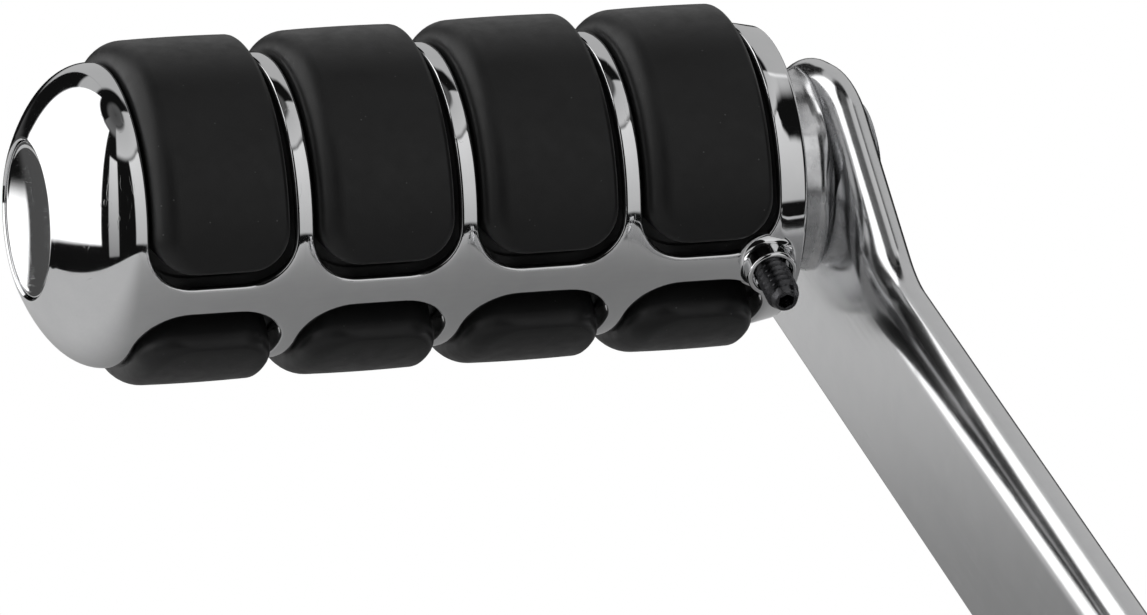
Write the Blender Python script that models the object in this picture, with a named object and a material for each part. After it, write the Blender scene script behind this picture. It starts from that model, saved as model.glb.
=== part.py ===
"""Motorcycle gear shift lever: a flat-bar arm with a splined clamp hub at one end
and a chromed toe peg with rubber pads at the other.

Units are metres, +Z is up. The world origin is the centre of the hub's splined bore,
whose axis runs along Y. The toe peg points along -Y, away from the engine, and the
arm runs from the hub towards -X and up to the peg.

The parts are modelled in three local frames, each held by an empty:
  lever frame   x = world X, y = world Z, z = world -Y (outboard), at the bore centre
  peg frame     the same directions, at the arm's outboard face on the peg's axis
  screw frames  z = the screw's axis, pointing the way the screw leaves
"""
import math

import bmesh
import bpy
from mathutils import Matrix, Vector

MM = 0.001
GAP = 0.3 * MM          # space between pieces that touch on the real lever
STEPS = 48              # sides of a large turned piece
SMALL_STEPS = 24        # sides of a small turned piece

# Arm
PEG_X = -120.0 * MM     # peg axis from the bore axis, lever frame
PEG_Y = 43.5 * MM
ARM_THICKNESS = 5.7 * MM
ARM_TOP_ROUND = 4.6 * MM         # height of the full round along the upper edge
ARM_EDGE_ROUND = 0.45 * MM
ARM_MIDDLE_DROP = 10.0 * MM      # the middle line between the edges, below the peg's axis
ARM_MIDDLE_SLOPE = math.tan(math.radians(16.5))
ARM_LEVELS = 8                   # layers across the thickness
ARM_CORNERS = (                  # x, y from the peg's axis and radius, in mm
    (-17.8, -14.3, 12.5),
    (-17.8, 10.65, 15.6),
    (3.9, 10.65, 11.6),
    (22.8, -6.35, 13.4),
    (116.0, -33.85, 0),
    (116.0, -54.7, 0),
)

# Clamp hub
HUB_RADIUS = 13.5 * MM
HUB_WIDTH = 16.0 * MM
HUB_TURN = math.radians(-15.0)   # the clamp lugs carry on along the arm's line
SPLINE_TEETH = 24
SPLINE_TIP_RADIUS = 6.55 * MM
SPLINE_ROOT_RADIUS = 7.05 * MM
SLIT_WIDTH = 2.0 * MM
LUG_LENGTH = 21.5 * MM
LUG_HALF_HEIGHT = 9.5 * MM
LUG_ROUND = 2.5 * MM

# Pinch bolt, an M6 socket cap screw with a split lock washer
BOLT_DISTANCE = 15.0 * MM        # from the bore axis
BOLT_RADIUS = 3.0 * MM
BOLT_HEAD_RADIUS = 5.0 * MM
BOLT_HEAD_HEIGHT = 6.0 * MM
BOLT_LENGTH = 20.0 * MM
BOLT_HEX = 5.0 * MM
WASHER_THICKNESS = 1.6 * MM
WASHER_RADIUS = 4.9 * MM

# Stud that carries the peg
STUD_RADIUS = 6.0 * MM
STUD_END = 38.0 * MM
STUD_SPIGOT_RADIUS = 5.0 * MM
STUD_HEAD_RADIUS = 7.4 * MM
STUD_HEAD_HEIGHT = 1.5 * MM
GROOVE_RADIUS = 4.7 * MM
COLLAR_RADIUS = 9.8 * MM
COLLAR_FOOT_RADIUS = 11.0 * MM
COLLAR_END = 3.4 * MM

# Peg cage
CAGE_RADIUS = 15.4 * MM
CAGE_BORE = 13.0 * MM
CAGE_START = 3.7 * MM
CAGE_BASE_RADIUS = 12.0 * MM
CAGE_BASE_ROUND = 0.9 * MM
CAGE_NECK_RADIUS = 14.9 * MM     # the last ring narrows a little towards the arm
CAGE_NECK_END = 7.1 * MM
CAGE_MOUTH = 10.6 * MM
CAVITY_END = 72.6 * MM           # where the core stops
RECESS_END = 75.1 * MM           # a ring-shaped recess holds the first pads' flanges
RECESS_RADIUS = 10.3 * MM
SHOULDER_START = 74.6 * MM
SHOULDER_CORNER = 78.8 * MM
RIM_POSITION = 82.0 * MM
RIM_RADIUS = 8.4 * MM
CAP_POCKET_RADIUS = 8.0 * MM
CAP_POCKET_FLOOR = 75.2 * MM

# Windows and rubber pads
PAD_ROWS = (("upper", math.radians(63.5)), ("lower", math.radians(243.5)))
PADS_PER_ROW = 4
WINDOW_PITCH = 17.3 * MM
WINDOW_LENGTH = 15.3 * MM
FIRST_WINDOW = 66.15 * MM        # middle of the window nearest the nose
LAST_WINDOW_CUT = 0.9 * MM       # the window nearest the arm is this much shorter
WINDOW_CORNER = 5.0 * MM
STRIP_WIDTH = 3.4 * MM
PAD_CREST_RADIUS = 17.45 * MM
PAD_ARM_GAP = 0.9 * MM           # between a pad and its window, on the side of the arm
PAD_END_GAP = 1.6 * MM           # and at the pad's ends round the peg
PAD_FLANGE_IN = 10.6 * MM
PAD_FLANGE_OUT = 12.7 * MM
PAD_FLANGE_LIP = 0.7 * MM

# Core, nose cap and their screw
CORE_RADIUS = 10.3 * MM
CORE_START = 3.9 * MM
CORE_BORE_END = 40.0 * MM
CORE_THREAD_START = 55.0 * MM
CORE_SCREW_RADIUS = 2.5 * MM
CORE_SCREW_LENGTH = 18.5 * MM
CORE_SCREW_HEAD_RADIUS = 4.25 * MM
CORE_SCREW_HEAD_HEIGHT = 2.8 * MM
CORE_SCREW_HEX = 3.0 * MM
CAP_DISH_DEPTH = 0.55 * MM
CAP_MIDDLE = 2.45 * MM

# Set screw, which keys the peg to the groove in the stud
SET_SCREW_ANGLE = math.radians(-25.0)
SET_SCREW_POSITION = 8.25 * MM
SET_SCREW_RADIUS = 1.73 * MM
SET_SCREW_TIP = 5.1 * MM
SET_SCREW_END = 22.0 * MM
SET_SCREW_HEX = 1.5 * MM
BOSS_RADIUS = 2.6 * MM
BOSS_END = 18.3 * MM
BOSS_MOUTH_RADIUS = 2.15 * MM


# ---------------------------------------------------------------- scene and materials

def clear_scene():
    for old in list(bpy.data.objects):
        bpy.data.objects.remove(old, do_unlink=True)


def make_material(name, colour, roughness, metallic):
    material = bpy.data.materials.new(name)
    material.use_nodes = True
    shader = material.node_tree.nodes["Principled BSDF"]
    shader.inputs["Base Color"].default_value = (*colour, 1.0)
    shader.inputs["Roughness"].default_value = roughness
    shader.inputs["Metallic"].default_value = metallic
    return material


def make_frame(name, location, rotation, parent=None):
    """An empty whose local axes are the columns of rotation."""
    frame = bpy.data.objects.new(name, None)
    bpy.context.scene.collection.objects.link(frame)
    frame.parent = parent
    frame.matrix_basis = Matrix.Translation(location) @ rotation.to_4x4()
    return frame


def make_object(name, vertices, faces, parent, material=None):
    mesh = bpy.data.meshes.new(name)
    mesh.from_pydata([tuple(v) for v in vertices], [], faces)
    mesh.validate()
    bm = bmesh.new()
    bm.from_mesh(mesh)
    bmesh.ops.recalc_face_normals(bm, faces=bm.faces)
    bm.to_mesh(mesh)
    bm.free()
    mesh.shade_smooth()
    mesh.set_sharp_from_angle(angle=math.radians(35.0))
    piece = bpy.data.objects.new(name, mesh)
    piece.parent = parent
    bpy.context.scene.collection.objects.link(piece)
    if material:
        mesh.materials.append(material)
    else:
        piece.hide_render = True
        piece.display_type = "WIRE"
    return piece


def combine(piece, tool, operation):
    modifier = piece.modifiers.new(tool.name, "BOOLEAN")
    modifier.operation = operation
    modifier.solver = "EXACT"
    modifier.object = tool


def round_edges(piece, width, segments):
    modifier = piece.modifiers.new("rounded edges", "BEVEL")
    modifier.width = width
    modifier.segments = segments
    modifier.limit_method = "ANGLE"
    modifier.angle_limit = math.radians(40.0)
    modifier.harden_normals = False


# ---------------------------------------------------------------- outlines

def polar(radius, angle):
    return Vector((radius * math.cos(angle), radius * math.sin(angle)))


def arc(centre, radius, start, end, count):
    return [
        Vector(centre) + polar(radius, start + (end - start) * i / count)
        for i in range(count + 1)
    ]


def rounded_outline(corners, count=6):
    """A closed outline from (x, y, radius) corners, each rounded by an arc."""
    outline = []
    for index, (x, y, radius) in enumerate(corners):
        corner = Vector((x, y))
        before = Vector(corners[index - 1][:2])
        after = Vector(corners[(index + 1) % len(corners)][:2])
        if radius == 0:
            outline.append(corner)
            continue
        into = (before - corner).normalized()
        out = (after - corner).normalized()
        half = into.angle(out) / 2
        centre = corner + (into + out).normalized() * radius / math.sin(half)
        start = corner + into * radius / math.tan(half)
        end = corner + out * radius / math.tan(half)
        first = math.atan2(*(start - centre).yx)
        turn = (start - centre).angle_signed(end - centre)
        outline += arc(centre, radius, first, first - turn, count)
    return outline


def regular_polygon(across_flats, sides=6):
    radius = across_flats / 2 / math.cos(math.pi / sides)
    return [polar(radius, 2 * math.pi * i / sides) for i in range(sides)]


# ---------------------------------------------------------------- solids

def extruded(name, outline, bottom, top, parent, material=None):
    count = len(outline)
    vertices = [(p.x, p.y, bottom) for p in outline]
    vertices += [(p.x, p.y, top) for p in outline]
    faces = [tuple(range(count)), tuple(range(count, 2 * count))]
    for i in range(count):
        j = (i + 1) % count
        faces.append((i, j, count + j, count + i))
    return make_object(name, vertices, faces, parent, material)


def turned(name, profile, parent, material=None, steps=STEPS, start=0.0, sweep=2 * math.pi):
    """A solid turned about local z from (radius, z) points. The profile is closed, and
    points on the axis become single vertices. A sweep below a full turn gets flat ends."""
    full = sweep > 2 * math.pi - 1e-6
    columns = steps if full else steps + 1
    vertices = []
    rows = []
    for radius, z in profile:
        if radius < 1e-9:
            rows.append([len(vertices)] * columns)
            vertices.append((0.0, 0.0, z))
            continue
        rows.append(list(range(len(vertices), len(vertices) + columns)))
        for i in range(columns):
            point = polar(radius, start + sweep * i / steps)
            vertices.append((point.x, point.y, z))
    faces = []
    for index, row in enumerate(rows):
        following = rows[(index + 1) % len(rows)]
        if row[0] == row[1] and following[0] == following[1]:
            continue
        for i in range(steps):
            j = (i + 1) % columns
            corners = [row[i], row[j], following[j], following[i]]
            faces.append(tuple(dict.fromkeys(corners)))
    if not full:
        faces.append(tuple(row[0] for row in rows))
        faces.append(tuple(row[-1] for row in rows))
    return make_object(name, vertices, faces, parent, material)


def cylinder(name, radius, bottom, top, parent, material=None, steps=SMALL_STEPS):
    profile = [(0, bottom), (radius, bottom), (radius, top), (0, top)]
    return turned(name, profile, parent, material, steps)


def curved_panel(name, middle, angle, layers, parent, material=None, columns=12, corner_steps=3):
    """A closed block wrapped round the local z axis, with a rounded rectangle as its
    outline. Each layer is (radius, nose, arm, around): how far out it lies, and how far the
    window's outline is grown there towards the nose, towards the arm and round the peg."""
    half_length = WINDOW_LENGTH / 2
    half_width = math.pi * CAGE_RADIUS / 2 - STRIP_WIDTH / 2

    def layer_points(radius, nose, arm, around):
        width = half_width + around
        corner = WINDOW_CORNER + around / 2
        bends = [math.pi / 2 * i / corner_steps for i in range(corner_steps + 1)]
        ends = [(corner * (1 - math.cos(b)), corner * (1 - math.sin(b))) for b in bends]
        rows = [(cut - half_length - arm, inset) for cut, inset in ends]
        rows += [(half_length + nose - cut, inset) for cut, inset in reversed(ends)]
        grid = []
        for z, inset in rows:
            half_angle = (width - inset) / CAGE_RADIUS
            row = []
            for j in range(columns + 1):
                point = polar(radius, angle + half_angle * (2 * j / columns - 1))
                row.append((point.x, point.y, middle + z))
            grid.append(row)
        return grid

    height = 2 * (corner_steps + 1)
    per_layer = height * (columns + 1)
    vertices = []
    for layer in layers:
        for row in layer_points(*layer):
            vertices += row

    def vertex(layer, i, j):
        return layer * per_layer + i * (columns + 1) + j

    faces = []
    for layer in (0, len(layers) - 1):
        for i in range(height - 1):
            for j in range(columns):
                faces.append((
                    vertex(layer, i, j), vertex(layer, i, j + 1),
                    vertex(layer, i + 1, j + 1), vertex(layer, i + 1, j),
                ))
    rim = [(0, j) for j in range(columns)]
    rim += [(i, columns) for i in range(height - 1)]
    rim += [(height - 1, columns - j) for j in range(columns)]
    rim += [(height - 1 - i, 0) for i in range(height - 1)]
    for layer in range(len(layers) - 1):
        for index, (i, j) in enumerate(rim):
            k, m = rim[(index + 1) % len(rim)]
            faces.append((
                vertex(layer, i, j), vertex(layer, k, m),
                vertex(layer + 1, k, m), vertex(layer + 1, i, j),
            ))
    return make_object(name, vertices, faces, parent, material)


# ---------------------------------------------------------------- lever

def inward_moves(outline):
    """For each point of a clockwise outline, the move that takes both of its sides inwards
    by one unit."""
    moves = []
    for index, point in enumerate(outline):
        before = (point - outline[index - 1]).normalized()
        after = (outline[(index + 1) % len(outline)] - point).normalized()
        first = Vector((before.y, -before.x))
        second = Vector((after.y, -after.x))
        moves.append((first + second) / (1 + first.dot(second)))
    return moves


def upper_share(point):
    """1 along the bar's upper edge and 0 along the lower one, with a ramp round its end."""
    line = PEG_Y - ARM_MIDDLE_DROP - (point.x - PEG_X) * ARM_MIDDLE_SLOPE
    return min(max((point.y - line + 1.5 * MM) / (5.5 * MM), 0.0), 1.0)


def build_arm(lever, chrome):
    """The flat bar. Its upper edge drops from the eye and then runs straight to the hub;
    the upper edge is a full round and the lower one nearly sharp."""
    outline = rounded_outline([
        (x * MM + PEG_X, y * MM + PEG_Y, r * MM) for x, y, r in ARM_CORNERS
    ])
    moves = inward_moves(outline)
    shares = [upper_share(point) for point in outline]
    half = ARM_THICKNESS / 2
    count = len(outline)
    vertices = []
    for level in range(ARM_LEVELS + 1):
        bend = math.pi * (level / ARM_LEVELS - 0.5)
        z = half * math.sin(bend)
        upper = ARM_TOP_ROUND * (1 - math.cos(bend))
        edge = max(abs(z) - half + ARM_EDGE_ROUND, 0.0)
        lower = ARM_EDGE_ROUND - math.sqrt(ARM_EDGE_ROUND ** 2 - edge ** 2)
        for point, move, share in zip(outline, moves, shares):
            spot = point + move * (lower + (upper - lower) * share)
            vertices.append((spot.x, spot.y, z))
    faces = [tuple(range(count)), tuple(range(ARM_LEVELS * count, (ARM_LEVELS + 1) * count))]
    for level in range(ARM_LEVELS):
        start = level * count
        for i in range(count):
            j = (i + 1) % count
            faces.append((start + i, start + j, start + count + j, start + count + i))
    arm = make_object("lever_arm", vertices, faces, lever, chrome)

    hub_clearance = cylinder(
        "hub_clearance", HUB_RADIUS + GAP, -HUB_WIDTH, HUB_WIDTH, lever, steps=STEPS
    )
    combine(arm, hub_clearance, "DIFFERENCE")
    eye = cylinder("arm_eye", STUD_SPIGOT_RADIUS + GAP, -HUB_WIDTH, HUB_WIDTH, lever)
    eye.location = (PEG_X, PEG_Y, 0)
    combine(arm, eye, "DIFFERENCE")


def build_hub(lever, chrome):
    reach = math.asin(LUG_HALF_HEIGHT / HUB_RADIUS)
    barrel = arc((0, 0), HUB_RADIUS, reach, 2 * math.pi - reach, 36)
    lug_centre = LUG_LENGTH - LUG_ROUND
    lug_rise = LUG_HALF_HEIGHT - LUG_ROUND
    lower = arc((lug_centre, -lug_rise), LUG_ROUND, -math.pi / 2, 0, 5)
    upper = arc((lug_centre, lug_rise), LUG_ROUND, 0, math.pi / 2, 5)
    hub_frame = make_frame(
        "hub_frame", (0, 0, 0), Matrix.Rotation(HUB_TURN, 3, "Z"), lever
    )
    half = HUB_WIDTH / 2
    hub = extruded("clamp_hub", barrel + lower + upper, -half, half, hub_frame, chrome)
    round_edges(hub, 0.7 * MM, 2)

    teeth = []
    for i in range(4 * SPLINE_TEETH):
        radius = SPLINE_TIP_RADIUS if i % 4 < 2 else SPLINE_ROOT_RADIUS
        teeth.append(polar(radius, 2 * math.pi * (i + 0.5) / (4 * SPLINE_TEETH)))
    spline = extruded("spline_bore", teeth, -HUB_WIDTH, HUB_WIDTH, hub_frame)
    combine(hub, spline, "DIFFERENCE")

    slit_outline = [
        Vector((0, -SLIT_WIDTH / 2)), Vector((2 * LUG_LENGTH, -SLIT_WIDTH / 2)),
        Vector((2 * LUG_LENGTH, SLIT_WIDTH / 2)), Vector((0, SLIT_WIDTH / 2)),
    ]
    slit = extruded("clamp_slit", slit_outline, -HUB_WIDTH, HUB_WIDTH, hub_frame)
    combine(hub, slit, "DIFFERENCE")

    bolt_frame = make_frame(
        "pinch_bolt_axis", (BOLT_DISTANCE, LUG_HALF_HEIGHT, 0),
        Matrix.Rotation(-math.pi / 2, 3, "X"), hub_frame,
    )
    hole = cylinder("bolt_hole", BOLT_RADIUS + GAP, -3 * LUG_HALF_HEIGHT, LUG_HALF_HEIGHT, bolt_frame)
    combine(hub, hole, "DIFFERENCE")
    return bolt_frame


def build_pinch_bolt(bolt_frame, black_steel, steel):
    seat = GAP
    turned("pinch_bolt_washer", [
        (BOLT_RADIUS + GAP, seat), (WASHER_RADIUS, seat),
        (WASHER_RADIUS, seat + WASHER_THICKNESS), (BOLT_RADIUS + GAP, seat + WASHER_THICKNESS),
    ], bolt_frame, steel, SMALL_STEPS, start=0.1, sweep=2 * math.pi - 0.25)

    head = seat + WASHER_THICKNESS + GAP
    top = head + BOLT_HEAD_HEIGHT
    end = head - BOLT_LENGTH
    chamfer = 0.5 * MM
    bolt = turned("pinch_bolt", [
        (0, end), (BOLT_RADIUS - chamfer, end), (BOLT_RADIUS, end + chamfer),
        (BOLT_RADIUS, head), (BOLT_HEAD_RADIUS, head),
        (BOLT_HEAD_RADIUS, top - chamfer), (BOLT_HEAD_RADIUS - chamfer, top), (0, top),
    ], bolt_frame, black_steel, SMALL_STEPS)
    socket = extruded(
        "bolt_socket", regular_polygon(BOLT_HEX), top - BOLT_HEAD_HEIGHT / 2, top + BOLT_HEAD_HEIGHT,
        bolt_frame,
    )
    combine(bolt, socket, "DIFFERENCE")


def build_hub_welds(lever, chrome):
    """Fillet beads in the corners between the hub's barrel and the bar's two faces."""
    leg = 3.2 * MM
    inner = HUB_RADIUS + GAP
    face = ARM_THICKNESS / 2 + GAP
    middle = math.radians(181.0)
    half_sweep = math.radians(30.0)
    for side, sign in (("outboard", 1), ("inboard", -1)):
        turned("hub_weld_" + side, [
            (inner, sign * face), (inner + leg, sign * face),
            (inner + 0.62 * leg, sign * (face + 0.62 * leg)), (inner, sign * (face + leg)),
        ], lever, chrome, 12, start=middle - half_sweep, sweep=2 * half_sweep)


# ---------------------------------------------------------------- stud and collar

def build_stud(peg, steel, chrome):
    back = -ARM_THICKNESS - GAP
    head = back - STUD_HEAD_HEIGHT
    groove_low = SET_SCREW_POSITION - 2.1 * MM
    groove_high = SET_SCREW_POSITION + 2.1 * MM
    turned("peg_stud", [
        (0, head), (0.75 * STUD_HEAD_RADIUS, head + 0.35 * STUD_HEAD_HEIGHT),
        (STUD_HEAD_RADIUS, back), (STUD_SPIGOT_RADIUS, back), (STUD_SPIGOT_RADIUS, GAP),
        (STUD_RADIUS, GAP), (STUD_RADIUS, groove_low), (GROOVE_RADIUS, groove_low + 0.4 * MM),
        (GROOVE_RADIUS, groove_high - 0.4 * MM), (STUD_RADIUS, groove_high),
        (STUD_RADIUS, STUD_END - 1.0 * MM), (STUD_RADIUS - 1.0 * MM, STUD_END), (0, STUD_END),
    ], peg, steel, 36)

    flare = COLLAR_FOOT_RADIUS - COLLAR_RADIUS
    fillet = []
    for i in range(6):
        bend = math.pi / 2 * i / 5
        fillet.append((
            COLLAR_FOOT_RADIUS - flare * math.sin(bend), GAP + flare * (1 - math.cos(bend)),
        ))
    inner = STUD_RADIUS + GAP
    turned(
        "stud_collar", [(inner, COLLAR_END), (inner, GAP)] + fillet + [(COLLAR_RADIUS, COLLAR_END)],
        peg, chrome,
    )


# ---------------------------------------------------------------- peg

def window_places():
    """Name, middle, angle and shortening (on the side of the arm) of each window."""
    for row, angle in PAD_ROWS:
        for index in range(PADS_PER_ROW):
            short = LAST_WINDOW_CUT if index == PADS_PER_ROW - 1 else 0.0
            yield f"{row}_{index + 1}", FIRST_WINDOW - index * WINDOW_PITCH, angle, short


def cage_profile():
    """Closed (radius, z) outline of the cage's wall and nose, without its windows."""
    base = []
    for i in range(5):
        bend = math.pi / 2 * i / 4
        base.append((
            CAGE_BASE_RADIUS + (CAGE_NECK_RADIUS - CAGE_BASE_RADIUS) * math.sin(bend),
            CAGE_START + CAGE_BASE_ROUND * (1 - math.cos(bend)),
        ))
    base.append((CAGE_RADIUS, CAGE_NECK_END))
    nose = []
    for i in range(7):
        t = i / 6
        weights = ((1 - t) ** 2, 2 * t * (1 - t), t ** 2)
        radii = (CAGE_RADIUS, CAGE_RADIUS, RIM_RADIUS)
        places = (SHOULDER_START, SHOULDER_CORNER, RIM_POSITION)
        nose.append((
            sum(w * r for w, r in zip(weights, radii)), sum(w * z for w, z in zip(weights, places)),
        ))
    screw_hole = CORE_SCREW_RADIUS + GAP
    inside = [
        (CAP_POCKET_RADIUS, RIM_POSITION), (CAP_POCKET_RADIUS, CAP_POCKET_FLOOR),
        (screw_hole, CAP_POCKET_FLOOR), (screw_hole, CAVITY_END), (RECESS_RADIUS, CAVITY_END),
        (RECESS_RADIUS, RECESS_END), (CAGE_BORE, RECESS_END),
        (CAGE_BORE, CAGE_START + 1.9 * MM), (CAGE_MOUTH, CAGE_START + 1.9 * MM),
        (CAGE_MOUTH, CAGE_START),
    ]
    return base + nose + inside


def build_cage(peg, screw_frame, chrome):
    cage = turned("peg_cage", cage_profile(), peg, chrome)
    boss = turned("screw_boss", [
        (0, CAGE_BORE + 0.6 * MM), (BOSS_RADIUS, CAGE_BORE + 0.6 * MM),
        (BOSS_RADIUS, BOSS_END - 0.3 * MM), (BOSS_RADIUS - 0.3 * MM, BOSS_END), (0, BOSS_END),
    ], screw_frame, None, SMALL_STEPS)
    for name, middle, angle, short in window_places():
        reach = (CAGE_BORE - 2.0 * MM, PAD_CREST_RADIUS + 1.5 * MM)
        window = curved_panel(
            "window_" + name, middle, angle, [(radius, 0, -short, 0) for radius in reach], peg
        )
        combine(cage, window, "DIFFERENCE")
    combine(cage, boss, "UNION")
    hole = SET_SCREW_RADIUS + GAP
    countersink = BOSS_MOUTH_RADIUS - hole
    drill = turned("screw_hole", [
        (0, CAGE_BORE - 2.0 * MM), (hole, CAGE_BORE - 2.0 * MM), (hole, BOSS_END - countersink),
        (BOSS_MOUTH_RADIUS, BOSS_END), (BOSS_MOUTH_RADIUS, SET_SCREW_END), (0, SET_SCREW_END),
    ], screw_frame, None, SMALL_STEPS)
    combine(cage, drill, "DIFFERENCE")


def build_pads(peg, screw_frame, rubber):
    clearance = cylinder(
        "pad_notch", SET_SCREW_RADIUS + 2 * GAP, PAD_FLANGE_IN - 2 * MM, PAD_FLANGE_OUT + 1 * MM,
        screw_frame,
    )
    boss_clearance = cylinder(
        "pad_boss_notch", BOSS_RADIUS + GAP, CAGE_BORE - 0.2 * MM, BOSS_END + 2 * MM, screw_frame,
    )
    flange = [(radius, *3 * [PAD_FLANGE_LIP]) for radius in (PAD_FLANGE_IN, PAD_FLANGE_OUT)]
    layers = flange + [
        (PAD_FLANGE_OUT, -GAP, -PAD_ARM_GAP, -PAD_END_GAP),
        (PAD_CREST_RADIUS - 1.9 * MM, -GAP, -PAD_ARM_GAP, -PAD_END_GAP),
        (PAD_CREST_RADIUS - 1.0 * MM, -0.7 * MM, -1.0 * MM, -1.7 * MM),
        (PAD_CREST_RADIUS - 0.3 * MM, -1.5 * MM, -1.2 * MM, -1.9 * MM),
        (PAD_CREST_RADIUS, -2.7 * MM, -1.7 * MM, -2.4 * MM),
    ]
    for name, middle, angle, short in window_places():
        shortened = [(radius, nose, arm - short, around) for radius, nose, arm, around in layers]
        pad = curved_panel("rubber_pad_" + name, middle, angle, shortened, peg, rubber)
        if short:
            combine(pad, clearance, "DIFFERENCE")
            combine(pad, boss_clearance, "DIFFERENCE")


def build_core(peg, screw_frame, alloy, black_steel, chrome):
    bore = STUD_RADIUS + GAP
    thread = CORE_SCREW_RADIUS + GAP
    core_end = CAVITY_END - GAP
    core = turned("peg_core", [
        (0, CORE_BORE_END + 1.5 * MM), (bore, CORE_BORE_END), (bore, CORE_START),
        (CORE_RADIUS, CORE_START), (CORE_RADIUS, core_end), (thread, core_end),
        (thread, CORE_THREAD_START), (0, CORE_THREAD_START - 1.2 * MM),
    ], peg, alloy)
    drill = cylinder(
        "core_screw_hole", SET_SCREW_RADIUS + GAP, STUD_RADIUS - 1 * MM, CORE_RADIUS + 2 * MM,
        screw_frame,
    )
    combine(core, drill, "DIFFERENCE")

    head = CAP_POCKET_FLOOR + GAP
    top = head + CORE_SCREW_HEAD_HEIGHT
    end = head - CORE_SCREW_LENGTH
    chamfer = 0.4 * MM
    screw = turned("core_screw", [
        (0, end), (CORE_SCREW_RADIUS - chamfer, end), (CORE_SCREW_RADIUS, end + chamfer),
        (CORE_SCREW_RADIUS, head), (CORE_SCREW_HEAD_RADIUS, head),
        (CORE_SCREW_HEAD_RADIUS, top - chamfer), (CORE_SCREW_HEAD_RADIUS - chamfer, top), (0, top),
    ], peg, black_steel, SMALL_STEPS)
    socket = extruded(
        "core_screw_socket", regular_polygon(CORE_SCREW_HEX), top - 1.6 * MM, top + 1.0 * MM, peg
    )
    combine(screw, socket, "DIFFERENCE")

    radius = CAP_POCKET_RADIUS - GAP
    rim = RIM_POSITION - 0.3 * MM
    lip = radius - 0.5 * MM
    dish = []
    for i in range(7):
        part = 1 - i / 6
        dish.append((lip * part, rim - CAP_DISH_DEPTH * (1 - part ** 2)))
    back = rim - CAP_DISH_DEPTH - CAP_MIDDLE
    turned("nose_cap", [(0, back), (radius, back), (radius, rim)] + dish, peg, chrome)


def build_set_screw(screw_frame, black_steel):
    chamfer = 0.5 * MM
    taper = 0.55 * MM
    screw = turned("set_screw", [
        (0, SET_SCREW_TIP), (SET_SCREW_RADIUS - chamfer, SET_SCREW_TIP),
        (SET_SCREW_RADIUS, SET_SCREW_TIP + chamfer), (SET_SCREW_RADIUS, SET_SCREW_END - 2 * taper),
        (SET_SCREW_RADIUS - taper, SET_SCREW_END), (0, SET_SCREW_END),
    ], screw_frame, black_steel, SMALL_STEPS)
    socket = extruded(
        "set_screw_socket", regular_polygon(SET_SCREW_HEX), SET_SCREW_END - 2.0 * MM,
        SET_SCREW_END + 1.0 * MM, screw_frame,
    )
    combine(screw, socket, "DIFFERENCE")


def main():
    clear_scene()
    chrome = make_material("chrome", (0.78, 0.78, 0.79), 0.06, 1.0)
    steel = make_material("bright_steel", (0.60, 0.60, 0.61), 0.30, 1.0)
    alloy = make_material("cast_alloy", (0.62, 0.63, 0.64), 0.45, 1.0)
    rubber = make_material("black_rubber", (0.016, 0.016, 0.017), 0.62, 0.0)
    black_steel = make_material("black_oxide_steel", (0.035, 0.035, 0.038), 0.38, 1.0)

    outboard = Matrix(((1, 0, 0), (0, 0, -1), (0, 1, 0)))
    lever = make_frame("lever_frame", (0, 0, 0), outboard)
    peg = make_frame(
        "peg_axis", (PEG_X, PEG_Y, ARM_THICKNESS / 2), Matrix.Identity(3), lever
    )
    screw_turn = Matrix.Rotation(SET_SCREW_ANGLE, 3, "Z") @ Matrix.Rotation(math.pi / 2, 3, "Y")
    screw_frame = make_frame("set_screw_axis", (0, 0, SET_SCREW_POSITION), screw_turn, peg)

    build_arm(lever, chrome)
    bolt_frame = build_hub(lever, chrome)
    build_pinch_bolt(bolt_frame, black_steel, steel)
    build_hub_welds(lever, chrome)
    build_stud(peg, steel, chrome)
    build_cage(peg, screw_frame, chrome)
    build_pads(peg, screw_frame, rubber)
    build_core(peg, screw_frame, alloy, black_steel, chrome)
    build_set_screw(screw_frame, black_steel)


main()
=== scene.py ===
"""Chromed motorcycle gear shift lever on a white sweep, seen from beyond the toe peg's nose.

Pieces are modelled in local frames and placed by a matrix, so that every object sits at
the world origin. x, y and z below are the axes of those frames:
  lever frame   x = world X, y = world Z, z = world -Y, at the hub's bore centre
  peg frame     the same directions, at the arm's outboard face on the peg's axis
  screw frames  z = the screw's axis, pointing the way the screw leaves
"""
import math

import bmesh
import bpy
from mathutils import Matrix, Vector, noise


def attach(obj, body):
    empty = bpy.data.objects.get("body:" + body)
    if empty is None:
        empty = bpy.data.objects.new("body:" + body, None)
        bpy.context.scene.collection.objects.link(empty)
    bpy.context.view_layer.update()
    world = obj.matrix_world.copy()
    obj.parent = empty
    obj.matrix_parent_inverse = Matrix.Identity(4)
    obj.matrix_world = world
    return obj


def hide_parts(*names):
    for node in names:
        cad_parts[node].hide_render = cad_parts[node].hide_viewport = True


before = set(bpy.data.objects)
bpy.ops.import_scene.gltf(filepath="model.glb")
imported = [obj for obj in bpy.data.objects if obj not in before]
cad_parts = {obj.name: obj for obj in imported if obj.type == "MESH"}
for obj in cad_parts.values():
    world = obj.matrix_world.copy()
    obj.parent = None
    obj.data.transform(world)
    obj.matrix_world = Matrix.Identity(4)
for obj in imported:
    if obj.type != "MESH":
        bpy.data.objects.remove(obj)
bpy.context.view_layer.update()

MM = 0.001
TURN = 2 * math.pi
QUARTER = TURN / 4
CLEARANCE = 0.3 * MM  # round a shank in its hole, and between pieces that nearly touch
OVERLAP = 0.1 * MM  # how far welded pieces run into each other
HAIR = 0.1 * MM  # small enough to be unseen: a pinhole on an axis, a margin
TOUCHING = 0.001 * MM  # corners this near are one
FLAT_FACE_WEIGHT = 80  # how much flat faces keep their own shading beside round edges

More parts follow.
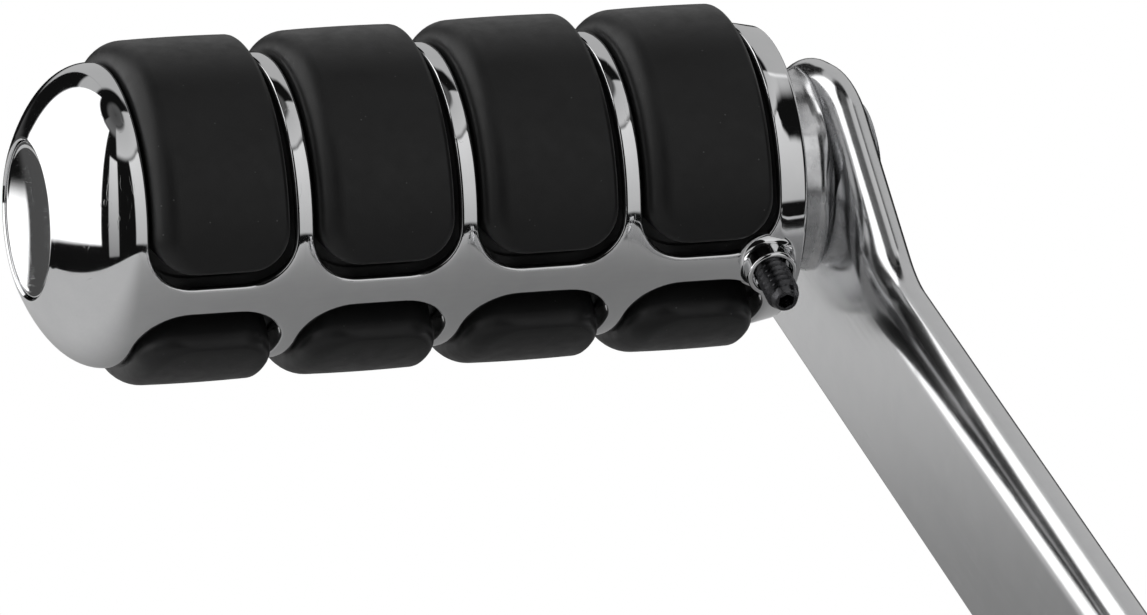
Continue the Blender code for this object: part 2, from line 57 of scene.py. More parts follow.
# Arm and hub. The corners are (x, y, radius) in mm from the peg's axis
PEG_X = -120.0 * MM
PEG_Y = 43.5 * MM
ARM_THICKNESS = 5.7 * MM
ARM_TOP_ROUND = 4.6 * MM
ARM_EDGE_ROUND = 0.45 * MM
ARM_MIDDLE_DROP = 10.0 * MM
ARM_SLOPE = math.radians(16.5)
ARM_BLEND = (-1.5 * MM, 4.0 * MM)  # from the sharp edge's share to the round one's
ARM_LEVELS = 32
ARM_CORNER_STEPS = 20
ARM_CORNERS = (
    (-17.8, -14.3, 12.5), (-17.8, 10.65, 15.6), (3.9, 10.65, 11.6),
    (22.8, -6.35, 13.4), (116.0, -33.85, 0), (116.0, -54.7, 0),
)
HUB_RADIUS = 13.5 * MM
HUB_WIDTH = 16.0 * MM
HUB_TURN = math.radians(-15.0)
HUB_EDGE_ROUND = 0.7 * MM
HUB_INNER_ROUND = 0.3  # share of the edge round, in the bore and the slit
SPLINE_TEETH = 24
SPLINE_TIP_RADIUS = 6.55 * MM
SPLINE_ROOT_RADIUS = 7.05 * MM
SLIT_WIDTH = 2.0 * MM
LUG_LENGTH = 21.5 * MM
LUG_HALF_HEIGHT = 9.5 * MM
LUG_ROUND = 2.5 * MM
LUG_ROUND_STEPS = 10
WELD_LEG = 3.2 * MM
WELD_MIDDLE = math.radians(181.0)
WELD_REACH = 30.0  # degrees each way from the middle
WELD_VANISHING = 30.5  # where its taper would come to nothing
WELD_STEPS = 160
WELD_HOLLOW = 0.16
RIPPLE_DEPTH = 0.05
RIPPLE_STEPS = 8

# Pinch bolt
BOLT_DISTANCE = 15.0 * MM
BOLT_RADIUS = 3.0 * MM
BOLT_HOLE = (-30.0 * MM, 2.0 * MM)  # through both lugs
BOLT_PITCH = 1.0 * MM
BOLT_HEAD_RADIUS = 4.95 * MM
BOLT_HEAD_HEIGHT = 6.0 * MM
BOLT_LENGTH = 20.0 * MM
BOLT_NECK = 2.0 * MM
BOLT_TIP_CHAMFER = 0.6 * MM
KNURL_DEPTH = 0.10 * MM
KNURL_FADE = 0.4 * MM
BOLT_HEX = 5.0 * MM
WASHER_SEAT = 0.3 * MM
WASHER_THICKNESS = 1.6 * MM
WASHER_RADIUS = 4.9 * MM
WASHER_SPLIT = (0.10, TURN - 0.15)  # where the washer's ring starts and ends

# Screw threads and sockets
THREAD_DEPTH = 0.61  # share of the pitch
THREAD_FLANK = (1.35, 0.12)  # steepness of the flanks, width of the crests
THREAD_RUN_OUT = (1.5, 0.3)  # turns from the end, at full depth and at none
THREAD_ROWS = 10  # for each turn
SCREW_COLUMNS = 96
SOCKET_STEPS = ((1.05, 0.0), (1.0, 0.03), (1.0, 1.0), (0.45, 1.08))  # size, depth
SOCKET_POINT = 1.15

# Stud and weld collar
STUD_RADIUS = 6.0 * MM
STUD_END = 38.0 * MM
SPIGOT_RADIUS = 5.0 * MM
STUD_HEAD_RADIUS = 7.4 * MM
STUD_HEAD_HEIGHT = 1.5 * MM
GROOVE_RADIUS = 4.7 * MM
GROOVE_HALF = 2.1 * MM
GROOVE_SLOPE = 0.4 * MM
STUD_CHAMFER = 1.0 * MM
STUD_EDGE_ROUND = 0.1 * MM
COLLAR_RADIUS = 9.8 * MM
COLLAR_FOOT_RADIUS = 11.0 * MM
COLLAR_END = 3.4 * MM
COLLAR_EDGE_ROUND = 0.35 * MM
COLLAR_LUMP_DEPTH = 0.14 * MM
COLLAR_LUMPS = 420.0  # scale of the lumps, for each metre
COLLAR_FOOT_WAVE = 0.7 * MM
COLLAR_FOOT_SINK = 0.35 * MM

# Peg cage, along the peg's axis from the arm's face
CAGE_RADIUS = 15.4 * MM
CAGE_BORE = 13.0 * MM
CAGE_START = 3.7 * MM
CAGE_BASE_RADIUS = 12.0 * MM
CAGE_BASE_ROUND = 0.9 * MM
CAGE_NECK_RADIUS = 14.9 * MM
CAGE_NECK_END = 7.1 * MM
CAGE_MOUTH = 10.6 * MM
CAGE_LIP = 1.9 * MM
CAVITY_END = 72.6 * MM
RECESS_END = 75.1 * MM
RECESS_RADIUS = 10.3 * MM
SHOULDER_START = 74.6 * MM
SHOULDER_CORNER = 78.8 * MM
RIM_POSITION = 82.0 * MM
RIM_RADIUS = 8.4 * MM
RIM_ROUND = 0.15 * MM
CAP_POCKET_RADIUS = 8.0 * MM
CAP_POCKET_FLOOR = 75.2 * MM
CORE_HOLE = 2.8 * MM

# Windows and rubber pads
PAD_ROWS = (("upper", math.radians(63.5)), ("lower", math.radians(243.5)))
PADS_PER_ROW = 4
WINDOW_PITCH = 17.3 * MM
WINDOW_LENGTH = 15.3 * MM
FIRST_WINDOW = 66.15 * MM
WINDOW_MIDDLES = [FIRST_WINDOW - index * WINDOW_PITCH for index in range(PADS_PER_ROW)]
LAST_WINDOW_CUT = 0.9 * MM
WINDOW_CORNER = 5.0 * MM
STRIP_WIDTH = 3.4 * MM
ROW_TO_STRIP = math.pi * CAGE_RADIUS / 2  # round the peg, middle to middle
WINDOW_HALF_WIDTH = ROW_TO_STRIP - STRIP_WIDTH / 2
WINDOW_EDGE_ROUND = 0.32 * MM
RING_CROWN = 0.10 * MM
RING_CROWN_REACH = 1.1 * MM
CELL_ACROSS = 44
CELL_ALONG = 6
CELL_CORNER = 12
CELL_SHARES = (0.12, 0.28, 0.5, 0.75, 1.0)  # of the way from a window to its cell's border
PAD_CREST = 17.42 * MM
PAD_CROWN = 0.16 * MM
PAD_SHOULDER_RISE = 1.95 * MM
PAD_NOSE_REACH = 2.4 * MM
PAD_OTHER_REACH = 0.8 * MM
PAD_FLANGE_IN = 10.6 * MM
PAD_FLANGE_OUT = 12.7 * MM
PAD_FLANGE_LIP = 0.7 * MM
PAD_NOSE_GAP = 0.3 * MM
PAD_ARM_GAP = 0.9 * MM
PAD_END_GAP = 2.1 * MM
PAD_BEND_STEPS = 9
PAD_ALONG = 8
PAD_ACROSS = 48

# Nose cap
CAP_RADIUS = 7.9 * MM
CAP_EDGE = 81.7 * MM
CAP_LIP = 0.5 * MM
CAP_LIP_ROUND = 0.12 * MM
CAP_CHAMFER = 0.2 * MM
CAP_DISH_DEPTH = 0.55 * MM
CAP_BACK = 78.7 * MM

# Set screw and its boss on the cage
SCREW_ANGLE = math.radians(-25.0)
SCREW_POSITION = 8.25 * MM
SCREW_RADIUS = 1.73 * MM
SCREW_PITCH = 0.8 * MM
SCREW_TIP = 5.1 * MM
SCREW_END = 22.0 * MM
SCREW_TAPER = 0.55 * MM
SCREW_TIP_CHAMFER = 0.45 * MM
SCREW_HEX = 1.5 * MM
SCREW_SOCKET_DEPTH = 2.0 * MM
BOSS_RADIUS = 2.6 * MM
BOSS_FOOT = 0.7 * MM
BOSS_DRUM = 1.2 * MM
BOSS_END = 17.4 * MM
BOSS_MOUTH_RADIUS = 2.15 * MM
BOSS_POINTS = 72

# Camera: direction from the aim point to the camera, and the width it sees there
CAMERA_AZIMUTH = math.radians(71.5)
CAMERA_ELEVATION = math.radians(11.6)
CAMERA_LENS = 700.0
CAMERA_SENSOR = 36.0
VIEW_WIDTH = 116.3 * MM
AIM = Vector((-124.59, -25.48, 29.75)) * MM

# Floor
FLOOR_HEIGHT = -16.0 * MM
FLOOR_LENGTH = 230.0 * MM
FLOOR_WIDTH = 165.0 * MM
FLOOR_MIDDLE = Vector((-160.0, -35.0, 0.0)) * MM
SHADE_MIDDLE = (-0.130, -0.025, 0.0)  # soft shade under the peg and the bar
SHADE_SCALE = (4.2, 11.0, 0.0)
SHADE_DEPTH = 0.50

# Studio seen in the chrome: azimuth from and to, elevation from and to (degrees, world
# axes), radiance at the foot and at the top, softness of the edges
PANELS = (
    (-158.0, -67.0, -13.0, 67.0, 1.50, 1.45, 1.2),
    (-55.0, -36.0, -20.0, 47.0, 0.27, 0.80, 0.8),
    (2.0, 48.0, -12.0, 50.0, 0.50, 0.80, 1.5),
    (-36.0, 104.0, 52.0, 76.0, 0.60, 0.50, 3.0),
    (-92.0, -36.0, 68.0, 78.0, 0.16, 0.12, 3.0),
    (100.0, 181.0, 3.0, 60.0, 0.47, 0.47, 3.0),
    (-181.0, -158.0, 38.0, 60.0, 0.47, 0.47, 2.0),
    (-181.0, -158.0, -24.0, 0.0, 0.08, 0.06, 3.0),
    (-180.0, 180.0, 78.0, 91.0, 0.10, 0.06, 3.0),
)
DARK_ROOM = 0.006
WHITE = (1.0, 1.0, 1.0, 1.0)


# ---- frames

def moved(x, y, z):
    return Matrix.Translation((x, y, z))


def turned_about(axis, angle):
    return Matrix.Rotation(angle, 4, axis)


LEVER_FRAME = Matrix(((1, 0, 0, 0), (0, 0, -1, 0), (0, 1, 0, 0), (0, 0, 0, 1)))
PEG_FRAME = LEVER_FRAME @ moved(PEG_X, PEG_Y, ARM_THICKNESS / 2)
HUB_FRAME = LEVER_FRAME @ turned_about("Z", HUB_TURN)
BOLT_FRAME = HUB_FRAME @ moved(BOLT_DISTANCE, LUG_HALF_HEIGHT, 0) @ turned_about("X", -QUARTER)
SCREW_FRAME = (
    PEG_FRAME @ moved(0, 0, SCREW_POSITION) @ turned_about("Z", SCREW_ANGLE)
    @ turned_about("Y", QUARTER)
)


# ---- outlines

def polar(radius, angle):
    return Vector((radius * math.cos(angle), radius * math.sin(angle)))


def smooth(value, low, high):
    part = min(max((value - low) / (high - low), 0.0), 1.0)
    return part * part * (3 - 2 * part)


def steps(start, end, count):
    return [start + (end - start) * i / count for i in range(count + 1)]


def turns(count):
    """Evenly spaced angles all round."""
    return steps(0, TURN, count)[:-1]


def ring(radius, z, count):
    """A level circle of points."""
    return [Vector((*polar(radius, angle), z)) for angle in turns(count)]


def arc(centre, radius, start, end, count):
    return [Vector(centre) + polar(radius, angle) for angle in steps(start, end, count)]


def rounded(corners, count, closed=True):
    """An outline from (x, y, radius) corners, each rounded by an arc."""
    outline = []
    last = len(corners) - 1
    for index, (x, y, radius) in enumerate(corners):
        corner = Vector((x, y))
        if radius == 0 or (not closed and index in (0, last)):
            outline.append(corner)
            continue
        into = (Vector(corners[index - 1][:2]) - corner).normalized()
        out = (Vector(corners[(index + 1) % len(corners)][:2]) - corner).normalized()
        half = into.angle(out) / 2
        centre = corner + (into + out).normalized() * radius / math.sin(half)
        start = corner + into * radius / math.tan(half)
        end = corner + out * radius / math.tan(half)
        first = math.atan2(*(start - centre).yx)
        turn = (start - centre).angle_signed(end - centre)
        outline += arc(centre, radius, first, first - turn, count)
    return outline


def hexagon(across_flats):
    """A hexagon as SCREW_COLUMNS points, evenly spaced in angle."""
    apothem = across_flats / 2
    points = []
    for angle in turns(SCREW_COLUMNS):
        away = (angle + math.pi / 6) % (math.pi / 3) - math.pi / 6
        points.append(polar(apothem / math.cos(away), angle))
    return points


# ---- meshes

class Skin:
    """Collects faces given by their corner points; equal corners are joined at the end."""

    def __init__(self):
        self.vertices = []
        self.faces = []

    def face(self, *points):
        start = len(self.vertices)
        self.vertices += points
        self.faces.append(tuple(range(start, start + len(points))))

    def rows(self, rows, closed=True):
        """Quads between following rows of points."""
        for row, following in zip(rows, rows[1:]):
            count = len(row)
            for i in range(count if closed else count - 1):
                j = (i + 1) % count
                self.face(row[i], row[j], following[j], following[i])

    def fan(self, row, middle):
        for i, point in enumerate(row):
            self.face(point, row[(i + 1) % len(row)], middle)


def closed_mesh(name, vertices, faces, joined=False):
    """A mesh whose faces all look outwards; joined makes equal corners one."""
    mesh = bpy.data.meshes.new(name)
    mesh.from_pydata(vertices, [], faces)
    bm = bmesh.new()
    bm.from_mesh(mesh)
    if joined:
        bmesh.ops.remove_doubles(bm, verts=bm.verts, dist=2 * TOUCHING)
        bmesh.ops.dissolve_degenerate(bm, dist=TOUCHING, edges=bm.edges)
    bmesh.ops.recalc_face_normals(bm, faces=bm.faces)
    bm.to_mesh(mesh)
    bm.free()
    return mesh


def linked(made):
    bpy.context.scene.collection.objects.link(made)
    return made


def piece(name, skin, place, material, body, nodes, sharp=32.0):
    """A mesh object that stands for CAD nodes and rides on their body."""
    vertices = [place @ Vector(v) for v in skin.vertices]
    mesh = closed_mesh(name, vertices, skin.faces, joined=True)
    finish(bpy.data.objects.new(name, mesh), material, body, nodes, sharp)


def finish(made, material, body, nodes, sharp):
    made.data.shade_smooth()
    made.data.set_sharp_from_angle(angle=math.radians(sharp))
    made.data.materials.clear()
    made.data.materials.append(material)
    linked(made)
    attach(made, body)
    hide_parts(*nodes)


def lathe(profile, count, skin=None, bend=None, closed=True):
    """Turns (radius, z) points about z. bend(radius, angle, z) may move each point."""
    skin = skin or Skin()
    rows = []
    for radius, z in profile:
        row = []
        for angle in turns(count):
            r, at, height = bend(radius, angle, z) if bend else (radius, angle, z)
            row.append(Vector((*polar(r, at), height)))
        rows.append(row)
    skin.rows(rows + rows[:1] if closed else rows)
    return skin


def solid(outline, low, high):
    """A temporary object: an extruded outline."""
    return layered([[Vector((x, y, z)) for x, y in outline] for z in (low, high)])


def rod(middle, radius, low, high, count):
    return solid(arc(middle, radius, 0, TURN, count)[:-1], low, high)


def layered(rows):
    """A temporary object: closed rows of points, one above the other, with flat ends."""
    count = len(rows[0])
    vertices = [point for row in rows for point in row]
    faces = [tuple(range(count)), tuple(range(len(vertices) - count, len(vertices)))]
    for start in range(0, len(vertices) - count, count):
        for i in range(count):
            j = (i + 1) % count
            faces.append((start + i, start + j, start + count + j, start + count + i))
    return linked(bpy.data.objects.new("solid", closed_mesh("solid", vertices, faces)))


def bead(sections):
    """The skin through following closed sections, with a flat face at each end."""
    skin = Skin()
    skin.rows(sections)
    skin.face(*sections[0])
    skin.face(*reversed(sections[-1]))
    return skin


def round_edges(made, width, segments):
    modifier = made.modifiers.new("rounded edges", "BEVEL")
    modifier.width = width
    modifier.segments = segments
    modifier.limit_method = "WEIGHT"
    modifier.use_clamp_overlap = False


def cut(made, tool):
    modifier = made.modifiers.new("cut", "BOOLEAN")
    modifier.operation = "DIFFERENCE"
    modifier.solver = "EXACT"
    modifier.object = tool


def settle(made, name, place, tools):
    """Applies the modifiers, removes the cutting tools and places the result."""
    bpy.context.view_layer.update()
    graph = bpy.context.evaluated_depsgraph_get()
    mesh = bpy.data.meshes.new_from_object(made.evaluated_get(graph))
    mesh.transform(place)
    for old in [made, *tools]:
        bpy.data.objects.remove(old, do_unlink=True)
    settled = bpy.data.objects.new(name, mesh)
    even = settled.modifiers.new("even shading", "WEIGHTED_NORMAL")
    even.keep_sharp = True
    even.weight = FLAT_FACE_WEIGHT
    return settled


# ---- materials

class Nodes:
    """Adds nodes to a tree and hands on their outputs."""

    def __init__(self, tree):
        self.tree = tree

    def add(self, kind, inputs=None, **settings):
        node = self.tree.nodes.new("ShaderNode" + kind)
        for key, value in settings.items():
            setattr(node, key, value)
        for key, value in (inputs or {}).items():
            if isinstance(value, bpy.types.NodeSocket):
                self.tree.links.new(value, node.inputs[key])
            else:
                node.inputs[key].default_value = value
        return node

    def maths(self, operation, first, second=0.0):
        return self.add("Math", {0: first, 1: second}, operation=operation).outputs[0]

    def vectors(self, operation, inputs, output=0):
        return self.add("VectorMath", inputs, operation=operation).outputs[output]

    def ramp(self, value, low, high, to_low=0.0, to_high=1.0, kind="LINEAR"):
        return self.add("MapRange", {
            "Value": value, "From Min": low, "From Max": high,
            "To Min": to_low, "To Max": to_high,
        }, interpolation_type=kind).outputs[0]

    def mix(self, factor, first, second):
        """A colour between two, each a socket or a shade (red, green, blue)."""
        ends = [(*end, 1.0) if isinstance(end, tuple) else end for end in (first, second)]
        inputs = {"Factor": factor, 6: ends[0], 7: ends[1]}
        return self.add("Mix", inputs, data_type="RGBA").outputs[2]


class Shader(Nodes):
    """A node material round one Principled BSDF."""

    def __init__(self, name, metallic, colour):
        self.material = bpy.data.materials.new(name)
        self.material.use_nodes = True
        super().__init__(self.material.node_tree)
        self.surface = self.tree.nodes["Principled BSDF"]
        self.surface.inputs["Metallic"].default_value = metallic
        self.surface.inputs["Base Color"].default_value = (*colour, 1.0)
        self.place = self.add("TexCoord").outputs["Object"]

    def stretched(self, scale, turn=(0.0, 0.0, 0.0)):
        """Object coordinates, turned and then scaled along each axis."""
        spun = self.add("VectorRotate", {
            "Vector": self.place, "Rotation": turn,
        }, rotation_type="EULER_XYZ")
        return self.vectors("MULTIPLY", {0: spun.outputs[0], 1: scale})

    def noise(self, scale, vector=None, detail=3.0, roughness=0.5):
        return self.add("TexNoise", {
            "Vector": vector or self.place, "Scale": scale, "Detail": detail,
            "Roughness": roughness,
        }).outputs[0]

    def colour(self, value):
        self.tree.links.new(value, self.surface.inputs["Base Color"])

    def roughness(self, value):
        self.tree.links.new(value, self.surface.inputs["Roughness"])

    def relief(self, *layers):
        """Bumps, each (height value, depth in metres), one upon the other."""
        normal = None
        for height, depth in layers:
            inputs = {"Height": height, "Strength": 1.0, "Distance": depth}
            if normal:
                inputs["Normal"] = normal
            normal = self.add("Bump", inputs).outputs[0]
        self.tree.links.new(normal, self.surface.inputs["Normal"])


def scratches(shader, scale, turn, width):
    """Thin broken lines across the surface, 1 on a scratch."""
    lines = shader.noise(1.0, shader.stretched(scale, turn), detail=2.0)
    broken = shader.noise(260.0, detail=2.0)
    thin = shader.ramp(lines, 0.5 - width, 0.5)
    thinner = shader.ramp(lines, 0.5, 0.5 + width, 1.0, 0.0)
    line = shader.maths("MULTIPLY", thin, thinner)
    return shader.maths("MULTIPLY", line, shader.ramp(broken, 0.50, 0.62))


def chrome_material(name, wobble, gloss, streaks_at, streak_turn, streak_share, streak_depth):
    """Plated steel: slow waves in the polish, hairlines and a little grey haze."""
    shader = Shader(name, 1.0, (0.80, 0.80, 0.81))
    haze = shader.noise(420.0, detail=4.0)
    shader.colour(shader.mix(haze, (0.76, 0.765, 0.775), (0.84, 0.84, 0.845)))
    streaks = shader.noise(1.0, shader.stretched(streaks_at, streak_turn), detail=4.0)
    hairline = scratches(shader, streaks_at, streak_turn, 0.006)
    base = shader.ramp(streaks, 0.3, 0.7, gloss, gloss + streak_share)
    shader.roughness(shader.maths("ADD", base, shader.ramp(hairline, 0.0, 1.0, 0.0, 0.10)))
    shader.relief(
        (shader.noise(150.0, detail=1.0), wobble),
        (streaks, streak_depth),
        (hairline, 0.0015 * MM),
    )
    return shader.material


def weld_material():
    """Plated weld bead: lumpy, ground by hand, with grey patches."""
    shader = Shader("chromed_weld", 1.0, (0.74, 0.74, 0.75))
    patches = shader.noise(330.0, detail=5.0, roughness=0.6)
    patchy = shader.ramp(patches, 0.35, 0.65)
    shader.colour(shader.mix(patchy, (0.56, 0.565, 0.575), (0.80, 0.80, 0.81)))
    rubbed = shader.noise(1.0, shader.stretched((900.0, 2600.0, 260.0)), detail=3.0)
    gloss = shader.ramp(patches, 0.3, 0.7, 0.26, 0.14)
    shader.roughness(shader.maths("ADD", gloss, shader.ramp(rubbed, 0.3, 0.7, 0.0, 0.10)))
    shader.relief(
        (shader.noise(300.0, detail=1.0), 0.05 * MM), (rubbed, 0.003 * MM),
        (shader.noise(1500.0, detail=2.0), 0.003 * MM),
    )
    return shader.material


def rubber_material():
    """Moulded black rubber: fine grain, faint bloom and specks of dust."""
    shader = Shader("black_rubber_skin", 0.0, (0.015, 0.015, 0.015))
    bloom = shader.noise(120.0, detail=4.0)
    cells = shader.add("TexVoronoi", {"Vector": shader.place, "Scale": 900.0})
    speck = shader.ramp(cells.outputs["Distance"], 0.05, 0.10, 1.0, 0.0)
    chosen = shader.ramp(shader.noise(300.0, detail=1.0), 0.55, 0.61)
    dust = shader.maths("MULTIPLY", speck, chosen)
    body = shader.mix(bloom, (0.0105, 0.0105, 0.0108), (0.0175, 0.0175, 0.0178))
    shader.colour(shader.mix(dust, body, (0.075, 0.075, 0.075)))
    shader.roughness(shader.ramp(shader.noise(700.0, detail=4.0), 0.3, 0.7, 0.36, 0.46))
    shader.surface.inputs["Specular IOR Level"].default_value = 0.32
    shader.relief((shader.noise(5200.0, detail=3.0), 0.010 * MM), (bloom, 0.02 * MM))
    return shader.material


def plain_metal(name, dark, light, rough, grain, depth):
    """Unplated or oxide-coated metal: mottled colour, uneven gloss and fine grain."""
    shader = Shader(name, 1.0, light)
    mottle = shader.noise(600.0, detail=5.0, roughness=0.6)
    shader.colour(shader.mix(shader.ramp(mottle, 0.3, 0.7), dark, light))
    fine = shader.noise(grain, detail=3.0)
    shader.roughness(shader.ramp(fine, 0.3, 0.7, rough - 0.06, rough + 0.08))
    shader.relief((fine, depth), (mottle, 2 * depth))
    return shader.material


# ---- lever

def inward_moves(outline):
    """For each point of a clockwise outline, the move that takes both its sides inwards by 1."""
    moves = []
    for index, point in enumerate(outline):
        before = (point - outline[index - 1]).normalized()
        after = (outline[(index + 1) % len(outline)] - point).normalized()
        first = Vector((before.y, -before.x))
        second = Vector((after.y, -after.x))
        moves.append((first + second) / (1 + first.dot(second)))
    return moves


def upper_share(point):
    """1 along the bar's upper edge and 0 along the lower one, with a ramp round its end."""
    line = PEG_Y - ARM_MIDDLE_DROP - (point.x - PEG_X) * math.tan(ARM_SLOPE)
    return smooth(point.y - line, *ARM_BLEND)


def build_arm(material):
    """The bar, in layers across its thickness: a full round above, small radii below."""
    corners = [(x * MM + PEG_X, y * MM + PEG_Y, r * MM) for x, y, r in ARM_CORNERS]
    outline = rounded(corners, ARM_CORNER_STEPS)
    moves = inward_moves(outline)
    half = ARM_THICKNESS / 2
    rows = []
    for bend in steps(-QUARTER, QUARTER, ARM_LEVELS):
        z = half * math.sin(bend)
        upper = ARM_TOP_ROUND * (1 - math.cos(bend))
        edge = max(abs(z) - half + ARM_EDGE_ROUND, 0.0)
        lower = ARM_EDGE_ROUND - math.sqrt(ARM_EDGE_ROUND ** 2 - edge ** 2)
        row = []
        for point, move in zip(outline, moves):
            share = upper_share(point)
            row.append(Vector((*(point + move * (lower + (upper - lower) * share)), z)))
        rows.append(row)
    arm = layered(rows)
    hub_room = rod((0, 0), HUB_RADIUS + CLEARANCE, -HUB_WIDTH, HUB_WIDTH, 144)
    eye = rod((PEG_X, PEG_Y), SPIGOT_RADIUS + CLEARANCE, -HUB_WIDTH, HUB_WIDTH, 64)
    cut(arm, hub_room)
    cut(arm, eye)
    arm = settle(arm, "lever_arm_polished", LEVER_FRAME, [hub_room, eye])
    finish(arm, material, "lever", ["lever_arm"], 50.0)


def build_hub(material):
    """The barrel, lugs, bore teeth and slit are one closed outline, like a letter C."""
    reach = math.asin(LUG_HALF_HEIGHT / HUB_RADIUS)
    slit = SLIT_WIDTH / 2
    outline = arc((0, 0), HUB_RADIUS, reach, TURN - reach, 120)
    lug_x = LUG_LENGTH - LUG_ROUND
    lug_y = LUG_HALF_HEIGHT - LUG_ROUND
    outline += arc((lug_x, -lug_y), LUG_ROUND, -QUARTER, 0, LUG_ROUND_STEPS)
    outline.append(Vector((LUG_LENGTH, -slit)))
    teeth = 4 * SPLINE_TEETH
    for i in reversed(range(teeth)):
        radius = SPLINE_TIP_RADIUS if i % 4 < 2 else SPLINE_ROOT_RADIUS
        point = polar(radius, TURN * (i + 0.5) / teeth)
        if point.x < 0 or abs(point.y) > slit:
            outline.append(point)
        elif i == 0 or i == teeth - 1:
            outline.append(Vector((point.x, math.copysign(slit, point.y))))
    outline.append(Vector((LUG_LENGTH, slit)))
    outline += arc((lug_x, lug_y), LUG_ROUND, 0, QUARTER, LUG_ROUND_STEPS)
    hub = solid(outline, -HUB_WIDTH / 2, HUB_WIDTH / 2)
    weights = hub.data.attributes.new("bevel_weight_edge", "FLOAT", "EDGE")
    for edge in hub.data.edges:
        ends = [hub.data.vertices[v].co for v in edge.vertices]
        outer = all(point.xy.length > HUB_RADIUS - HAIR for point in ends)
        if abs(ends[0].z - ends[1].z) < slit:
            weights.data[edge.index].value = 1.0 if outer else HUB_INNER_ROUND
    round_edges(hub, HUB_EDGE_ROUND, 5)
    hole = rod((0, 0), BOLT_RADIUS + CLEARANCE, *BOLT_HOLE, 48)
    hole.matrix_world = HUB_FRAME.inverted() @ BOLT_FRAME
    cut(hub, hole)
    hub = settle(hub, "clamp_hub_polished", HUB_FRAME, [hole])
    finish(hub, material, "lever", ["clamp_hub"], 40.0)


def build_hub_welds(material):
    """Rippled fillet beads between the barrel and the bar's two faces."""
    inner = HUB_RADIUS - OVERLAP
    face = ARM_THICKNESS / 2 - OVERLAP
    for side, sign in (("outboard", 1), ("inboard", -1)):
        rows = []
        for i, angle in enumerate(steps(-WELD_REACH, WELD_REACH, WELD_STEPS)):
            taper = math.sqrt(1 - (angle / WELD_VANISHING) ** 4)
            ripple = 1 + RIPPLE_DEPTH * abs(math.sin(i * math.pi / RIPPLE_STEPS))
            leg = WELD_LEG * taper * ripple
            row = []
            for part in steps(0.0, QUARTER, 10):
                out = leg * (1 - WELD_HOLLOW * math.sin(2 * part))
                row.append((inner + out * math.cos(part), sign * (face + out * math.sin(part))))
            row.append((inner, sign * face))
            turn = WELD_MIDDLE + math.radians(angle)
            rows.append([Vector((*polar(radius, turn), z)) for radius, z in row])
        piece("hub_weld_bead_" + side, bead(rows), LEVER_FRAME, material, "lever",
              ["hub_weld_" + side], 60.0)


def build_stud(material):
    """From its headed end behind the bar, through the bar's eye, to its end in the peg."""
    back = -ARM_THICKNESS
    head = back - STUD_HEAD_HEIGHT
    low = SCREW_POSITION - GROOVE_HALF
    high = SCREW_POSITION + GROOVE_HALF
    edge = STUD_EDGE_ROUND
    profile = rounded([
        (HAIR, head, 0), (0.62 * STUD_HEAD_RADIUS, head, 2.0 * MM),
        (0.90 * STUD_HEAD_RADIUS, head + 0.55 * STUD_HEAD_HEIGHT, 0.6 * MM),
        (STUD_HEAD_RADIUS, back, 0.2 * MM), (SPIGOT_RADIUS, back, 0), (SPIGOT_RADIUS, CLEARANCE, 0),
        (STUD_RADIUS, CLEARANCE, edge), (STUD_RADIUS, low, edge),
        (GROOVE_RADIUS, low + GROOVE_SLOPE, edge), (GROOVE_RADIUS, high - GROOVE_SLOPE, edge),
        (STUD_RADIUS, high, edge), (STUD_RADIUS, STUD_END - STUD_CHAMFER, 0.3 * MM),
        (STUD_RADIUS - STUD_CHAMFER, STUD_END, 0.2 * MM), (HAIR, STUD_END, 0),
    ], 5)
    piece("peg_stud_turned", lathe(profile, 96), PEG_FRAME, material, "lever",
          ["peg_stud"])


def build_collar(material):
    """The weld round the stud: a drum with an uneven flared foot that runs into the bar."""
    flare = COLLAR_FOOT_RADIUS - COLLAR_RADIUS
    inner = STUD_RADIUS + CLEARANCE
    edge = COLLAR_EDGE_ROUND
    profile = [(inner, COLLAR_END), (inner, 0.0)]
    for bend in steps(0.0, QUARTER, 14):
        radius = COLLAR_FOOT_RADIUS - flare * math.sin(bend)
        profile.append((radius, flare * (1 - math.cos(bend))))
    for z in steps(flare, COLLAR_END - edge, 5)[1:]:
        profile.append((COLLAR_RADIUS, z))
    profile += arc((COLLAR_RADIUS - edge, COLLAR_END - edge), edge, 0, QUARTER, 5)[1:]

    def uneven(radius, angle, z):
        if radius < inner + HAIR:
            return radius, angle, z
        spot = Vector((*polar(radius, angle), z)) * COLLAR_LUMPS
        lump = noise.noise(spot) * COLLAR_LUMP_DEPTH
        dent = min(lump, 0.0) * smooth(z, 0.0, 1.0 * MM)
        foot = smooth(radius, COLLAR_RADIUS, COLLAR_FOOT_RADIUS)
        wave = noise.noise(Vector((*polar(1.7, angle), 4.0))) * COLLAR_FOOT_WAVE
        return radius + dent + (wave - COLLAR_FOOT_SINK) * foot, angle, z

    piece("stud_collar_weld", lathe(profile, 144, bend=uneven), PEG_FRAME, material, "lever",
          ["stud_collar"], 60.0)


def build_lock_washer(material):
    """A ring with a narrow split, which stands on the lug's seat."""
    seat = WASHER_SEAT
    top = seat + WASHER_THICKNESS
    hole = BOLT_RADIUS + CLEARANCE
    section = rounded([
        (hole, seat, 0.15 * MM), (WASHER_RADIUS, seat, 0.25 * MM),
        (WASHER_RADIUS, top, 0.25 * MM), (hole, top, 0.15 * MM),
    ], 4)
    rows = []
    for turn in steps(*WASHER_SPLIT, 90):
        rows.append([Vector((*polar(radius, turn), z)) for radius, z in section])
    piece("lock_washer_split", bead(rows), BOLT_FRAME, material, "pinch_washer",
          ["pinch_bolt_washer"])


